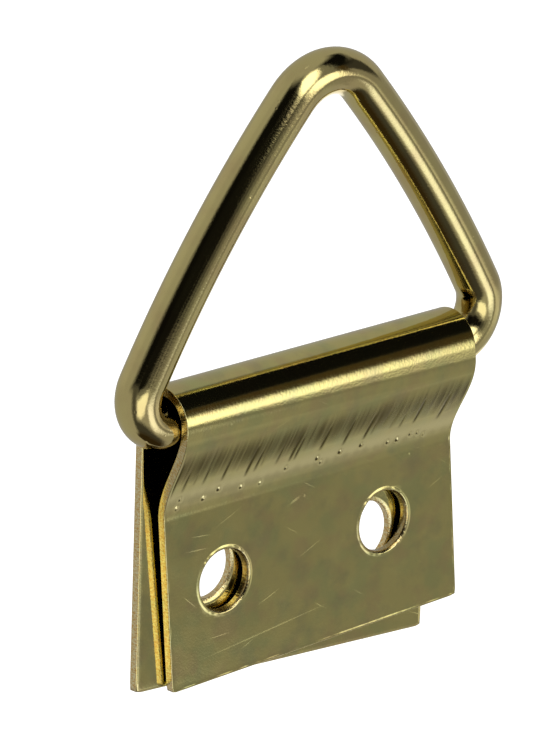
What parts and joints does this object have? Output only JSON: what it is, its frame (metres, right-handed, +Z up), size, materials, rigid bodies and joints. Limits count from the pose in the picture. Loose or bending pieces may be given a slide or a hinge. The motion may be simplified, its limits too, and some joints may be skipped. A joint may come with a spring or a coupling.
{
  "type": "picture frame hanger",
  "caption": "Triangular wire ring that swings in the knuckle of a folded sheet strap, which screws to the back of a picture frame.",
  "frame": {"origin": "on the strap's back face, midway between the back leaf's two screw holes", "axes": "+Z up towards the ring, -Y to the front, +Y into the frame that the strap is screwed to, X along the ring's bar"},
  "size_m": [0.0214, 0.0036, 0.0277],
  "materials": {
    "plated_sheet": "polished plating over pressed sheet, with forming marks and fine scratches",
    "plated_wire": "bright plating over drawn wire"
  },
  "bodies": {
    "strap": {"folded_strap": "plated_sheet"},
    "ring": {"triangle_ring": "plated_wire"}
  },
  "joints": [
    {"name": "ring_swing", "type": "hinge", "parent": "strap", "child": "ring", "pos_m": [0, -0.00149, 0.00752], "axis": [1, 0, 0], "range_deg": [-120, 155]}
  ]
}
